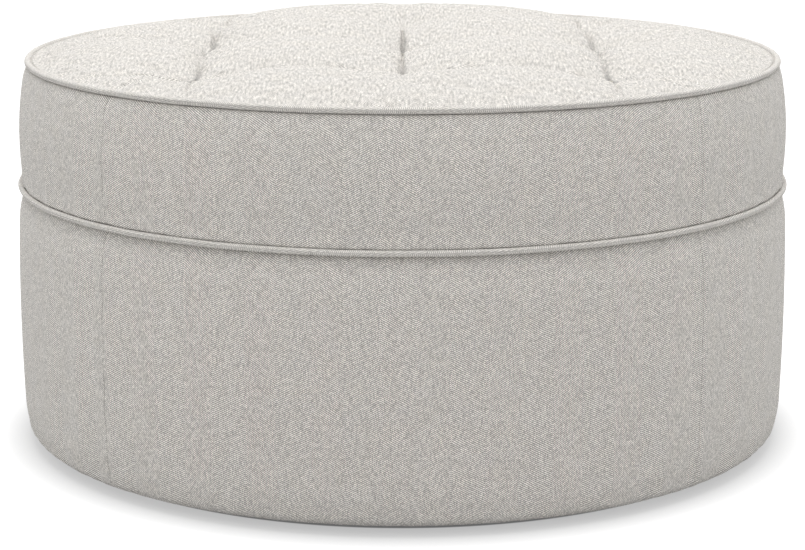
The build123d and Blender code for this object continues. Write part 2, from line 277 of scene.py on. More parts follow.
def woven(name, light, dark, bias=0.0, contrast=1.0, gain=1.0, fleck=0.1, fold_shaded=False):
    """Heathered herringbone twill from warp and weft yarns, on the piece's own UV in metres.

    A bias turns the weave by degrees, a gain lightens it and a fleck strengthens its slubs. The
    contrast is that between its yarns, and it also scales the painted shade where the yarns lie low.
    Where asked, the cloth gets painted shade in its creases, as much as a point attribute says.
    """
    paint = Paint(name)
    lie = {"Vector": paint.uv, "Rotation": (0.0, 0.0, math.radians(bias))}
    turned = paint.add("ShaderNodeMapping", {}, lie)
    wander = paint.noise(turned, 38.0, 2.0) - 0.5
    across_cloth, along_cloth, _ = paint.parts(turned)
    warp = (across_cloth - CHEVRON_START + wander * STRAY_ACROSS) / WARP
    weft = (along_cloth + wander * STRAY_ALONG) / PICK
    warp_number, weft_number = warp.floor(), weft.floor()
    across, along = warp.fract(), weft.fract()
    rising = (warp / (2 * CHEVRON)).fract() < 0.5
    warp_float = ((weft - warp_number.zigzag(CHEVRON)) / 4).fract()
    weft_float = ((weft_number + rising - warp.zigzag(CHEVRON)) / 4).fract()
    warp_is_up = warp_float < 0.5
    yarn_round = (across * math.pi).sine() ** 0.6
    pick_round = (along * math.pi).sine() ** 0.6
    warp_height = (warp_float * math.tau).sine().clamp(0.0, 1.0) ** 0.6 * yarn_round
    weft_height = ((weft_float - 0.5) * math.tau).sine().clamp(0.0, 1.0) ** 0.6 * pick_round
    height = warp_height * warp_is_up + weft_height * (1 - warp_is_up) * 0.8
    float_place = {"Vector": paint.join(warp_number, (weft / 4).floor())}
    yarn = paint.add("ShaderNodeTexWhiteNoise", {"noise_dimensions": "2D"}, float_place)
    fibre = paint.noise(turned, 2600.0, 3.0, 0.7) - 0.5
    spots = paint.join(across_cloth * HEATHER[0], along_cloth * HEATHER[1])
    heather = paint.noise(spots, 1.0, 1.0) - 0.5
    lumps = paint.join(across_cloth * SLUBS[0], along_cloth * SLUBS[1])
    slub = paint.noise(lumps, 1.0, 0.0) - 0.5
    shade = gain + contrast * (yarn * 0.34 - 0.17 + fibre * 0.45) + heather * 0.4 + slub * fleck
    # Painted shade: the cloth is darker where its yarns lie low, between the floats
    shade = shade * (1 - contrast * 0.42 * (1 - height) ** 2)
    # Painted shade in the creases, read from the mesh's point attribute
    if fold_shaded:
        painted_fold_shade = paint.add("ShaderNodeAttribute", {"attribute_name": "painted_fold_shade"}, {}, out="Fac")
        shade = shade * (1 - painted_fold_shade * 0.64)
    mix = warp_is_up * contrast + (1 - contrast) * 0.5
    cloth = paint.blend(mix, rgba(dark), rgba(light))
    warmth = paint.noise(turned, 42.0, 1.0)
    cloth = paint.blend(warmth, paint.scaled(cloth, shade), rgba((1.0, 0.985, 0.95)), "MULTIPLY")
    return paint.finish(
        cloth, height + fibre * 0.5, WEAVE_RELIEF,
        roughness=0.92, sheen_weight=0.12, sheen_roughness=0.5, specular_ior_level=0.25,
    )


def foamed(name, rgb):
    """Open-celled foam."""
    paint = Paint(name)
    cells = paint.add("ShaderNodeTexVoronoi", {}, {"Vector": paint.place, "Scale": 900.0})
    mottle = paint.noise(paint.place, 14.0, 3.0)
    shade = (0.72 + cells * 0.5) * (0.86 + mottle * 0.28)
    return paint.finish(paint.tinted(rgb, shade), cells, 0.0006, roughness=0.95)


def timbered(name, rgb, layer=0.0):
    """Wood grain along X, with the plies of plywood where a layer is given."""
    paint = Paint(name)
    x, y, z = paint.parts(paint.place)
    grain = paint.noise(paint.join(x * 3.0, y * 42.0, z * 42.0), 1.0, 5.0, 0.6)
    pores = paint.noise(paint.join(x * 60.0, y * 1500.0, z * 1500.0), 1.0, 2.0)
    rings = ((grain * 11.0).fract() - 0.5).absolute()
    shade = 0.72 + rings * 0.42 + (pores - 0.5) * 0.35
    if layer:
        facing = paint.add("ShaderNodeNewGeometry", {}, {}, out="Normal")
        upward = paint.parts(facing)[2].absolute()
        ply = ((z / layer).floor() / 2).fract() * 0.5
        shade = shade * (1 - (upward < 0.5) * ply)
    height = rings * 0.3 + pores
    return paint.finish(
        paint.tinted(rgb, shade), height, 0.0004, roughness=0.62, specular_ior_level=0.4
    )


def pressed_board(name, rgb):
    """Hardboard with its fibres and a mottle."""
    paint = Paint(name)
    fibres = paint.noise(paint.place, 420.0, 4.0, 0.7)
    mottle = paint.noise(paint.place, 22.0, 3.0)
    shade = 0.55 + fibres * 0.6 + mottle * 0.3
    return paint.finish(paint.tinted(rgb, shade), fibres, 0.0003, roughness=0.7)


def zinc(name, rgb):
    """Plated steel with a brushed, spotted skin."""
    paint = Paint(name)
    x, y, z = paint.parts(paint.place)
    scratches = paint.noise(paint.join(x * 1800.0, y * 1800.0, z * 90.0), 1.0, 2.0)
    spots = paint.noise(paint.place, 260.0, 3.0)
    shade = 0.74 + scratches * 0.2 + spots * 0.3
    rough = 0.24 + spots * 0.25
    return paint.finish(
        paint.tinted(rgb, shade), scratches, 0.00008, roughness=rough, metallic=1.0
    )


def moulded(name, rgb):
    """Moulded plastic with a fine grain and scuffs."""
    paint = Paint(name)
    grain = paint.noise(paint.place, 1900.0, 2.0)
    scuff = paint.noise(paint.place, 70.0, 4.0, 0.7)
    shade = 0.8 + scuff * 0.5
    rough = 0.36 + scuff * 0.3
    return paint.finish(
        paint.tinted(rgb, shade), grain, 0.00012, roughness=rough, specular_ior_level=0.5
    )


def spun(name, rgb):
    """Black non-woven dust cloth, with its grid of bonded points."""
    paint = Paint(name)
    x, y, _ = paint.parts(paint.uv)
    bond = ((x * 900.0).fract() - 0.5).absolute() + ((y * 900.0).fract() - 0.5).absolute()
    pressed = bond < 0.34
    fibres = paint.noise(paint.join(x * 900.0, y * 2600.0), 1.0, 4.0, 0.8)
    shade = (0.7 + fibres * 0.9) * (1 - 0.35 * pressed)
    return paint.finish(
        paint.tinted(rgb, shade), fibres * 0.6 - pressed * 0.5, 0.0002,
        roughness=0.9, sheen_weight=0.2,
    )


def threaded(name, rgb):
    """Waxed twine with fine fibres."""
    paint = Paint(name)
    fibres = paint.noise(paint.place, 2400.0, 3.0, 0.7)
    shade = 0.66 + fibres * 0.6
    return paint.finish(paint.tinted(rgb, shade), fibres, 0.0002, roughness=0.7)


# Meshes

TURNED_STEPS = 240  # points round a turned shape


def added(name, data):
    """An object in the scene."""
    thing = bpy.data.objects.new(name, data)
    bpy.context.scene.collection.objects.link(thing)
    return thing


def keep(mesh, slot, *replaced):
    """Adds a finished mesh as a piece of the ottoman, in its slot's finish."""
    piece = added(mesh.name, mesh)
    mesh.materials.clear()
    mesh.materials.append(finishes[slot])
    mesh.shade_smooth()
    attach(piece, "root")
    if replaced:
        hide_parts(*replaced)
    return piece


def mesh_of(name, points, faces, uv=None, cap=None):
    """A mesh from arrays. uv holds one place a point, and a cap is one more face of any size."""
    mesh = bpy.data.meshes.new(name)
    more = [] if cap is None else [cap.tolist()]
    mesh.from_pydata(np.asarray(points).tolist(), [], np.asarray(faces).tolist() + more)
    if uv is not None:
        layer = mesh.uv_layers.new(name="UVMap")
        corners = np.zeros(len(mesh.loops), np.int32)
        mesh.loops.foreach_get("vertex_index", corners)
        layer.data.foreach_set("uv", np.asarray(uv, np.float32)[corners].ravel())
    mesh.update()
    return mesh


def grid_faces(rows, columns, first=0):
    """The quads of a grid whose points run along its columns first."""
    corner = first + np.arange(rows - 1)[:, None] * columns + np.arange(columns - 1)
    corner = corner.ravel()
    return np.stack([corner, corner + 1, corner + columns + 1, corner + columns], axis=1)


def grid_edge(number):
    """The numbers round the edge of a numbered grid, in order."""
    return np.concatenate([number[0], number[1:, -1], number[-1, -2::-1], number[-2:0:-1, 0]])


def round_points(radius, angle, height):
    """Points at radii, angles and heights that fit each other."""
    around = radius * np.cos(angle), radius * np.sin(angle), height
    return np.stack(np.broadcast_arrays(*around), axis=-1)


def grid_normals(points):
    """Normals of a grid of points, one a point."""
    along = np.gradient(points, axis=0)
    across = np.gradient(points, axis=1)
    normals = np.cross(across, along)
    return normals / np.maximum(np.linalg.norm(normals, axis=2, keepdims=True), 1e-12)


def thick_sheet(name, points, uv, thickness):
    """A closed sheet: a grid of points and a second one behind it, joined round the edge."""
    rows, columns, _ = points.shape
    inner = points - grid_normals(points) * thickness
    count = rows * columns
    front = grid_faces(rows, columns)
    back = grid_faces(rows, columns, count)[:, ::-1]
    edge = grid_edge(np.arange(count).reshape(rows, columns))
    following = np.roll(edge, -1)
    rim = np.stack([following, edge, edge + count, following + count], axis=1)
    places = np.concatenate([points.reshape(-1, 3), inner.reshape(-1, 3)])
    laid = np.tile(uv.reshape(-1, 2), (2, 1))
    return mesh_of(name, places, np.concatenate([front, back, rim]), laid)


def bowed(start, end, bow, step):
    """Points along a shallow arc, without its end. A bow above zero bellies away from the middle."""
    start, end = np.array(start, float), np.array(end, float)
    run = end - start
    across = np.array([run[1], -run[0]]) / np.hypot(*run)
    if across[0] < 0:
        across = -across
    count = max(2, round(np.hypot(*run) / step))
    share = np.arange(count)[:, None] / count
    return start + run * share + across * 4 * bow * share * (1 - share)


def eased_line(points, bows, steps):
    """A line through points, each run an arc of its own bow and step, its corners eased."""
    runs = [bowed(*run) for run in zip(points, points[1:], bows, steps)]
    line = np.concatenate([*runs, [points[-1]]])
    for _ in range(2):
        line[1:-1] = (line[:-2] + 2 * line[1:-1] + line[2:]) / 4
    return line


def along(line):
    """The distance of each point of a line from its start."""
    return np.concatenate([[0.0], np.cumsum(np.linalg.norm(np.diff(line, axis=0), axis=1))])


def waves(angle, seed, counts, size):
    """A smooth wander round the drum, the same each time."""
    draw = np.random.default_rng(seed)
    phases = draw.uniform(0, math.tau, len(counts))
    weights = draw.uniform(0.5, 1.0, len(counts))
    total = sum(w * np.sin(k * angle + p) for k, p, w in zip(counts, phases, weights))
    return size * total / np.sqrt((weights**2).sum() / 2)


def turned(name, section):
    """A closed section of (radius, height) turned round the middle, its poles welded."""
    section = np.array(section, float)
    onward = np.roll(section, -1, axis=0)
    if (section[:, 0] * onward[:, 1] - onward[:, 0] * section[:, 1]).sum() < 0:
        section = section[::-1]
    angle = np.arange(TURNED_STEPS)[:, None] / TURNED_STEPS * math.tau
    points = round_points(section[:, 0], angle, section[:, 1])
    count = len(section)
    row = np.arange(TURNED_STEPS)[:, None] * count
    column = np.arange(count)[None, :]
    next_row, next_column = np.roll(row, -1), np.roll(column, -1)
    corners = row + column, next_row + column, next_row + next_column, row + next_column
    mesh = mesh_of(name, points.reshape(-1, 3), np.stack(corners, axis=-1).reshape(-1, 4))
    work = bmesh.new()
    work.from_mesh(mesh)
    bmesh.ops.remove_doubles(work, verts=work.verts, dist=1e-6)
    loose = [edge for edge in work.edges if not edge.link_faces]
    bmesh.ops.delete(work, geom=loose, context="EDGES")
    work.to_mesh(mesh)
    work.free()
    return mesh


def made_by_nodes(name, tree, values, start=None):
    """The plain mesh that a geometry tree makes, its inputs set by name."""
    maker = added(name + "_maker", start or bpy.data.meshes.new(name + "_start"))
    modifier = maker.modifiers.new(name, "NODES")
    modifier.node_group = tree.tree
    for item in tree.tree.interface.items_tree:
        if item.item_type == "SOCKET" and item.in_out == "INPUT" and item.name in values:
            modifier[item.identifier] = values[item.name]
    graph = bpy.context.evaluated_depsgraph_get()
    mesh = bpy.data.meshes.new_from_object(maker.evaluated_get(graph), depsgraph=graph)
    maker.modifiers.remove(modifier)
    bpy.data.objects.remove(maker)
    mesh.name = name
    if not mesh.polygons:
        raise RuntimeError(f"{name} came out empty")
    return mesh


class Maker(Tree):
    """A geometry tree with named inputs."""

    def __init__(self, name, **kinds):
        super().__init__(bpy.data.node_groups.new(name, "GeometryNodeTree"))
        sockets = self.tree.interface
        sockets.new_socket("Geometry", in_out="INPUT", socket_type="NodeSocketGeometry")
        for key, kind in kinds.items():
            sockets.new_socket(key, in_out="INPUT", socket_type=f"NodeSocket{kind}")
        sockets.new_socket("Geometry", in_out="OUTPUT", socket_type="NodeSocketGeometry")
        group = self.tree.nodes.new("NodeGroupInput")
        self.inputs = {output.name: Socket(self, output) for output in group.outputs if output.name}

    def __getitem__(self, name):
        return self.inputs[name]

    def capture(self, geometry, value):
        """Keeps a value on a curve's points, and gives the curve and the kept value."""
        held = self.add("GeometryNodeCaptureAttribute", {}, {0: geometry})
        node = held.output.node
        node.capture_items.new("FLOAT", "kept")
        self.tree.links.new(value.output, node.inputs[1])
        return held, Socket(self, node.outputs[1])

    def circle(self, steps, radius):
        values = {"Resolution": steps, "Radius": radius}
        return self.add("GeometryNodeCurvePrimitiveCircle", {"mode": "RADIUS"}, values)

    def rectangle(self, width, height):
        values = {"Width": width, "Height": height}
        return self.add("GeometryNodeCurvePrimitiveQuadrilateral", {"mode": "RECTANGLE"}, values)

    def swept(self, curve, profile, caps=True):
        values = {"Curve": curve, "Profile Curve": profile, "Fill Caps": caps}
        return self.add("GeometryNodeCurveToMesh", {}, values)

    def moved(self, geometry, offset):
        return self.add("GeometryNodeSetPosition", {}, {"Geometry": geometry, "Offset": offset})

    def upward(self, height):
        return self.join(0.0, 0.0, height)

    def spread(self, points, piece, **more):
        values = {"Points": points, "Instance": piece, **more}
        return self.add("GeometryNodeInstanceOnPoints", {}, values)

    def joined(self, first, *others):
        """Several geometries as one, in their order."""
        whole = self.add("GeometryNodeJoinGeometry", {}, {0: first})
        for part in others:
            self.tree.links.new(part.output, whole.output.node.inputs[0])
        return whole

    def finish(self, geometry):
        """Ends the tree in real geometry with its material."""
        real = self.add("GeometryNodeRealizeInstances", {}, {0: geometry})
        values = {"Geometry": real, "Material": self["Material"]}
        done = self.add("GeometryNodeSetMaterial", {}, values)
        output = self.tree.nodes.new("NodeGroupOutput")
        self.tree.links.new(done.output, output.inputs[0])
        return self


# Camera, floor and light

LENS = 104.92  # millimetres
CAMERA_PLACE = (0.0, -2.7903, 0.8154)
CAMERA_TILT = 77.16  # degrees
FLOOR_RADIUS = 30.0
FLOOR_WHITE = 0.302  # of the floor that is seen, under the lamp
BOUNCE_GREY = 0.50  # of the floor that other light meets
PAINTED_SHADOW_GLOW = 0.467  # the floor's glow at the foot, lowered there as a painted shadow
FAR_GLOW = 0.86  # and away from it
SHADOW_FADE_START = 0.450  # from the middle, where the painted shadow begins to fade to white
SHADOW_FADE_RISE = 7.3  # a metre
UNDER_SHADOW_REACH = 0.4200  # from the middle, how far the painted dark shadow under the foot goes
SKY = 1.115  # strength, for all light but what the camera and reflections see
LAMP_SIZE = 3.2
LAMP_POWER = 53.1  # watts
LAMP_PLACE = (0.0, 0.2, 3.4)


class OTTOMAN_OT_stage(bpy.types.Operator):
    """Make the camera, the pale floor and the soft studio light"""

    bl_idname = "ottoman.stage"
    bl_label = "Stage"

    def execute(self, context):
        self.camera(context)
        self.floor()
        self.light(context)
        context.scene.view_settings.view_transform = "Standard"
        return {"FINISHED"}

    def camera(self, context):
        data = bpy.data.cameras.new("camera")
        data.lens = LENS
        data.clip_end = 100.0
        camera = added("camera", data)
        camera.location = CAMERA_PLACE
        camera.rotation_euler = (math.radians(CAMERA_TILT), 0.0, 0.0)
        context.scene.camera = camera

    def floor(self):
        angle = np.arange(96) / 96 * math.tau
        ring = round_points(FLOOR_RADIUS, angle, 0.0)
        floor = added("floor", mesh_of("floor", ring, [range(96)]))
        floor.data.materials.append(self.floor_paint())

    def seen(self, tree):
        """One where the camera or a reflection looks, and zero for other light."""
        path = tree.add("ShaderNodeLightPath", {}, {}, out="Is Camera Ray")
        sockets = path.output.node.outputs
        glossy = Socket(tree, sockets["Is Glossy Ray"])
        through = Socket(tree, sockets["Is Transmission Ray"])
        return (path + glossy + through).clamp(0.0, 1.0)

    def floor_paint(self):
        """A white floor that keeps the contact shadow, with a painted shadow in its glow by the foot."""
        paint = Paint("floor_white")
        speck = paint.noise(paint.place, 30.0, 2.0)
        white = paint.tinted([FLOOR_WHITE] * 3, 0.985 + speck * 0.015)
        distance = {"operation": "LENGTH"}
        away = paint.add("ShaderNodeVectorMath", distance, {0: paint.place}, out="Value")
        # Painted shadow: the glow is dim by the foot, darker under it, and white further out
        level = (PAINTED_SHADOW_GLOW + (away - SHADOW_FADE_START) * SHADOW_FADE_RISE).clamp(PAINTED_SHADOW_GLOW, FAR_GLOW)
        level = level * ((away - UNDER_SHADOW_REACH) * 300.0).clamp(0.25, 1.0)
        plain = paint.add("ShaderNodeBsdfDiffuse", {}, {"Color": rgba([BOUNCE_GREY] * 3)})
        bright = paint.add("ShaderNodeBsdfDiffuse", {}, {"Color": white})
        glow = paint.add("ShaderNodeEmission", {}, {"Color": paint.tinted((1.0, 1.0, 1.0), level)})
        shown = paint.add("ShaderNodeAddShader", {}, {0: bright, 1: glow})
        mixed = paint.add("ShaderNodeMixShader", {}, {0: self.seen(paint), 1: plain, 2: shown})
        below = paint.add("ShaderNodeNewGeometry", {}, {}, out="Backfacing")
        clear = paint.add("ShaderNodeBsdfTransparent", {}, {})
        mixed = paint.add("ShaderNodeMixShader", {}, {0: below, 1: mixed, 2: clear})
        paint.add("ShaderNodeOutputMaterial", {}, {"Surface": mixed})
        return paint.material

    def light(self, context):
        world = bpy.data.worlds.new("studio")
        world.use_nodes = True
        world.node_tree.nodes.clear()
        tree = Tree(world.node_tree)
        seen = self.seen(tree)
        strength = seen + (1 - seen) * SKY
        values = {"Color": rgba((1.0, 1.0, 1.0)), "Strength": strength}
        sky = tree.add("ShaderNodeBackground", {}, values)
        tree.add("ShaderNodeOutputWorld", {}, {"Surface": sky})
        context.scene.world = world
        data = bpy.data.lights.new("overhead", "AREA")
        data.shape = "DISK"
        data.size = LAMP_SIZE
        data.energy = LAMP_POWER
        added("overhead", data).location = LAMP_PLACE


# Covers of the side

PANEL_STEPS = 181  # points along a panel, besides those of its seam rolls
SEAM_ROLL = 0.0018  # how wide a panel's end rolls in at an upright seam
SEAM_DEPTH = 0.0005  # and how deep
PUCKER_REACH = 0.020  # of the puckers, away from a level seam
GATHER_REACH = 0.020  # of the gathers, away from an upright seam, as an angle
GATHER_DEPTH = 0.0006
GATHER_PITCH = 0.047  # from one gather to the next, up the seam
SWELL = 0.0005  # of the long waves in the padding
SEAM_RUN = 0.014  # from a line's end to the puckers at its seam
FLOOR_RUN = 0.036  # from the stapled edge to the puckers where the body turns under
BODY_FOAM_INSET = 0.0026  # of the foam inside its cover's line
SEAT_FOAM_INSET = 0.0030
FOAM_GAP = 0.004  # from a foam's corner to the seam beside it


def body_line(size):
    """The body cover's line from its upper allowance, over the side, to its stapled edge."""
    pinch = size.body_radius - size.pinch_inset - 0.0015
    under = size.body_radius - size.under_inset
    points = (
        (pinch - size.allowance, size.body_top),
        (pinch, size.body_top - 0.0016),
        (size.body_radius - 0.002, size.body_top - 0.040),
        (size.body_radius - 0.0016, size.floor_gap + 0.040),
        (size.body_radius - 0.0044, size.floor_gap + 0.0145),
        (under, size.floor_gap),
        (under - size.staple_margin, size.floor_gap),
    )
    bows = (0, 0.0021, 0.0018, 0.0006, 0.0025, 0)
    steps = (0.002, 0.0022, 0.0042, 0.0030, 0.0014, 0.003)
    return eased_line(points, bows, steps)


def boxing_line(size):
    """The boxing's line from its upper allowance down to its lower one."""
    pinch = size.body_radius - size.pinch_inset
    top = pinch - size.boxing_inset
    foot = pinch + 0.0036
    points = (
        (top - size.allowance, size.top_seam),
        (top - 0.0038, size.top_seam - 0.0008),
        (top + 0.0020, size.top_seam - 0.0150),
        (foot - 0.0001, size.boxing_foot + 0.014),
        (foot, size.boxing_foot),
        (foot - size.allowance, size.boxing_foot),
    )
    bows = (0, 0.0007, size.boxing_bow, 0.0005, 0)
    steps = (0.002, 0.0012, 0.0026, 0.0014, 0.002)
    return eased_line(points, bows, steps)


def panel(name, line, side, size, puckers, seed):
    """A quarter of a cover: its line swept from seam to seam, its ends rolled in at the seams."""
    half = math.radians(45.0) - size.ply_gap / 6 / size.body_radius
    roll = SEAM_ROLL / size.body_radius
    extra = np.array([0.35, 0.7, 0.9]) * roll
    angle = np.linspace(-half, half, PANEL_STEPS)
    angle = np.sort(np.concatenate([angle, -half + extra, half - extra]))
    place = math.radians(90.0 * SIDES.index(side)) + angle
    to_seam = half - np.abs(angle)
    near = np.clip(to_seam / roll, 0, 1)
    rolled = SEAM_DEPTH * (1 - np.sqrt(1 - (1 - near) ** 2))
    distance = along(line)[:, None]
    tall = np.sin(np.clip(distance / distance[-1], 0, 1) * math.pi)
    out = np.zeros((len(line), len(angle)))
    for seam, pucker in puckers:
        fade = np.exp(-((np.abs(distance - seam) / PUCKER_REACH) ** 1.3))
        out += fade * waves(place, seed, [37, 53, 71, 97, 113], pucker)
    out += waves(place, seed + 7, [3, 5, 8], SWELL) * tall
    gather = np.exp(-(to_seam / GATHER_REACH)) * GATHER_DEPTH
    out += gather * np.sin(distance * math.tau / GATHER_PITCH + seed)
    points = round_points(line[:, :1] + out * tall**0.3 - rolled, place, line[:, 1:])
    uv = np.stack(np.broadcast_arrays(angle * size.body_radius, -distance), axis=2)
    return thick_sheet(name, points[:, ::-1], uv[:, ::-1], size.cloth)


def cover_drum(size, kind, line, puckers, seed):
    """Makes a cover's four panels, stretched over their padding.

    Each pucker is a place along the line and a depth.
    """
    for side in SIDES:
        mesh = panel(f"{kind}_cloth_{side}", line, side, size, puckers, seed)
        piece = keep(mesh, "side_cloth", f"{side}_{kind}_panel")


class OTTOMAN_OT_body_cover(bpy.types.Operator):
    """Make the four panels of the body cover and the foam that they wrap"""

    bl_idname = "ottoman.body_cover"
    bl_label = "Body cover"

    def execute(self, context):
        size = context.scene.ottoman_sizes
        line = body_line(size)
        puckers = [(SEAM_RUN, 0.0007), (along(line)[-1] - FLOOR_RUN, 0.0005)]
        cover_drum(size, "body", line, puckers, 11)
        inner = reach("back_skin") + size.ply_gap
        hull = line[6:-10] - np.array([BODY_FOAM_INSET, 0.0])
        outer = [point for point in hull if point[1] > size.floor_gap + FOAM_GAP]
        section = [(inner, size.floor_gap + 0.0022), *outer[::-1], (inner, outer[0][1])]
        piece = keep(turned("side_foam_wrap", section), "foam", "body_foam")
        return {"FINISHED"}


class OTTOMAN_OT_boxing(bpy.types.Operator):
    """Make the four panels of the boxing and the seat foam inside them"""

    bl_idname = "ottoman.boxing"
    bl_label = "Boxing"

    def execute(self, context):
        size = context.scene.ottoman_sizes
        line = boxing_line(size)
        puckers = [(SEAM_RUN, 0.0005), (along(line)[-1] - SEAM_RUN, 0.0008)]
        cover_drum(size, "boxing", line, puckers, 23)
        lowest, highest = size.boxing_foot + FOAM_GAP, size.top_seam - FOAM_GAP
        hull = line[8:-8] - np.array([SEAT_FOAM_INSET, 0.0])
        hull = [point for point in hull if lowest < point[1] < highest]
        edge, deck = reach("deck_board"), high("deck_board")
        section = [(0.0, size.top_seam), (hull[0][0] - 0.02, size.top_seam), *hull]
        section += [(edge, hull[-1][1]), (edge, deck), (0.0, deck)]
        piece = keep(turned("seat_foam_block", section), "foam", "seat_foam")
        return {"FINISHED"}


# Welts

WELT_STEPS = 900  # points round a welt
LAP = 0.016  # half length of a welt's lapped join
TAIL_THICKNESS = 0.0020  # both layers of the strip behind the cord


def welt_tree():
    """A cord in bias cloth along a circle, with its flat tail and a lapped join at the back."""
    names = ("Radius", "Height", "Thickness", "Tail", "Wobble", "Lap", "Seed")
    make = Maker("welt", **{name: "Float" for name in names}, Material="Material")
    place = make.add("GeometryNodeInputPosition")
    noise = {"Vector": place, "W": make["Seed"], "Scale": 26.0, "Detail": 1.0}
    wobble = make.add("ShaderNodeTexNoise", {"noise_dimensions": "4D"}, noise, out="Color")
    wobble = make.scaled(make.vector("SUBTRACT", wobble, (0.5, 0.5, 0.5)), make["Wobble"])
    ring = make.circle(WELT_STEPS, make["Radius"])
    ring = make.moved(ring, make.vector("ADD", wobble, make.upward(make["Height"])))
    x, y, _ = make.parts(place)
    lap = (1 - (x / LAP).absolute()).clamp(0.0, 1.0) * (y > 0.0)
    thicker = {"Curve": ring, "Radius": 1 + lap * make["Lap"]}
    ring = make.add("GeometryNodeSetCurveRadius", {}, thicker)
    run = make.add("GeometryNodeSplineParameter", {}, {}, out="Length")
    ring, run_kept = make.capture(ring, run)
    profile, turn_kept = make.capture(make.circle(20, make["Thickness"]), run)
    tube = make.swept(ring, profile, caps=False)
    inward = make.join(make["Tail"] * -0.5 - make["Thickness"] * 0.8, 0.0)
    tail = make.moved(make.rectangle(make["Tail"], TAIL_THICKNESS), inward)
    whole = make.joined(make.swept(ring, tail, caps=False), tube)
    kind = {"data_type": "FLOAT2", "domain": "CORNER"}
    laid = {"Geometry": whole, "Name": "UVMap", "Value": make.join(run_kept, turn_kept)}
    both = make.add("GeometryNodeStoreNamedAttribute", kind, laid)
    return make.finish(both)


class OTTOMAN_OT_welts(bpy.types.Operator):
    """Make the corded welts of both seams"""

    bl_idname = "ottoman.welts"
    bl_label = "Welts"

    def execute(self, context):
        size = context.scene.ottoman_sizes
        tree = welt_tree()
        # Each welt's radius, how far it stands out, and how far it lies below the solid's cord
        welts = (
            ("middle", 0.0034, 0.0012, 0.0008),
            ("top", size.welt + 0.0002, size.top_lap, 0.0007),
        )
        for number, (where, thickness, out, down) in enumerate(welts):
            cover, cord = f"{where}_welt_cover", f"{where}_welt_cord"
            values = {
                "Radius": reach(cover) - thickness + out,
                "Height": (low(cord) + high(cord)) / 2 - down,
                "Thickness": thickness,
                "Tail": size.allowance,
                "Wobble": 0.0008,
                "Lap": 0.10,
                "Seed": 3.0 + number,
                "Material": finishes["welt_cloth"],
            }
            keep(made_by_nodes(f"{where}_welt", tree, values), "welt_cloth", cover, cord)
        return {"FINISHED"}


# Tufted top

TOP_STEPS = 301  # points along each side of the top's grid
GATHER = 0.66  # how much closer the grid's rows lie at a pleat
PUFF = 0.84  # how round a pillow is between its valleys
VALLEY = 0.60  # depth of a valley midway between two tufts
OUTER_VALLEY = 0.0545  # how far a middle row's valley runs on past its last tuft
CORNER_VALLEY = 0.19  # and an outer row's, as good as out to the welt
CORNER_PUFF = 0.46  # how round the roll is beside an outer row's valley
EDGE_GAP = 0.0004  # from the top's edge to its welt
TUFT_HEIGHT = 0.002  # of the top at a tuft, above its seam
PLEAT_WANDER = 0.004  # of a pleat to either side
PLEAT_WIDTH = 0.0022  # of a pleat at its tuft
PLEAT_FLARE = 0.010  # wider for each metre out
PLEAT_REACH = 0.083  # out from a tuft
PLEAT_SHARES = (0.64, 0.78)  # of its height that the top loses in a pleat
# Painted shade in the top's creases
FOLD_SHADE_WIDTH = 0.0034  # of the painted shade along a pleat, at its tuft
FOLD_SHADE_FLARE = 0.008  # wider for each metre out
FOLD_SHADE_REACH = 0.058
RIPPLE = 0.0008  # height of the rumples round a tuft
SETTLING_STEPS = 141  # points along each side of the cloth that settles
SETTLING_FRAMES = 20
SETTLING_CAP = 0.005  # the deepest pucker that is kept
SMOOTHING = 18  # rounds that leave only the swelling
CLOTH = {  # how the settling cloth behaves, held by its group of points
    "quality": 6,
    "mass": 0.4,
    "tension_stiffness": 12.0,
    "compression_stiffness": 12.0,
    "shear_stiffness": 6.0,
    "bending_stiffness": 0.2,
    "vertex_group_mass": "held",
    "pin_stiffness": 6.0,
    "shrink_min": -0.025,
    "use_pressure": True,
    "uniform_pressure_force": 4.0,
}


def disc_places(count, radius):
    """A square grid of places spread over a disc, with no pole."""
    line = np.linspace(-1, 1, count)
    a, b = np.meshgrid(line, line)
    wide = np.abs(a) > np.abs(b)
    with np.errstate(divide="ignore", invalid="ignore"):
        turn = np.where(wide, math.pi / 4 * b / a, math.pi / 2 - math.pi / 4 * a / b)
    turn = np.nan_to_num(turn)
    far = np.where(wide, a, b) * radius
    return far * np.cos(turn), far * np.sin(turn)


def tuft_rows(size):
    """How far each row of tufts is from the middle."""
    return -size.tuft_span, 0.0, size.tuft_span


def tuft_places(size):
    """The nine tufts, a square grid round the middle."""
    return [(x, y) for y in tuft_rows(size) for x in tuft_rows(size)]


def gathered(size, x, y):
    """Draws the grid's places in towards the rows of tufts, where the pleats need more of them."""
    inside = 1 - (np.hypot(x, y) / size.rim_radius) ** 6
    for row in tuft_rows(size):
        x = x - (x - row) * GATHER * inside * np.exp(-(((x - row) / 0.030) ** 2))
        y = y - (y - row) * GATHER * inside * np.exp(-(((y - row) / 0.030) ** 2))
    return x, y


def crown_lowest(size, share):
    """The height that the top comes down to at a tuft, above its seam."""
    rim = high("top_welt_cover") - size.top_seam - 0.0029
    return TUFT_HEIGHT + (rim - TUFT_HEIGHT) * share**14


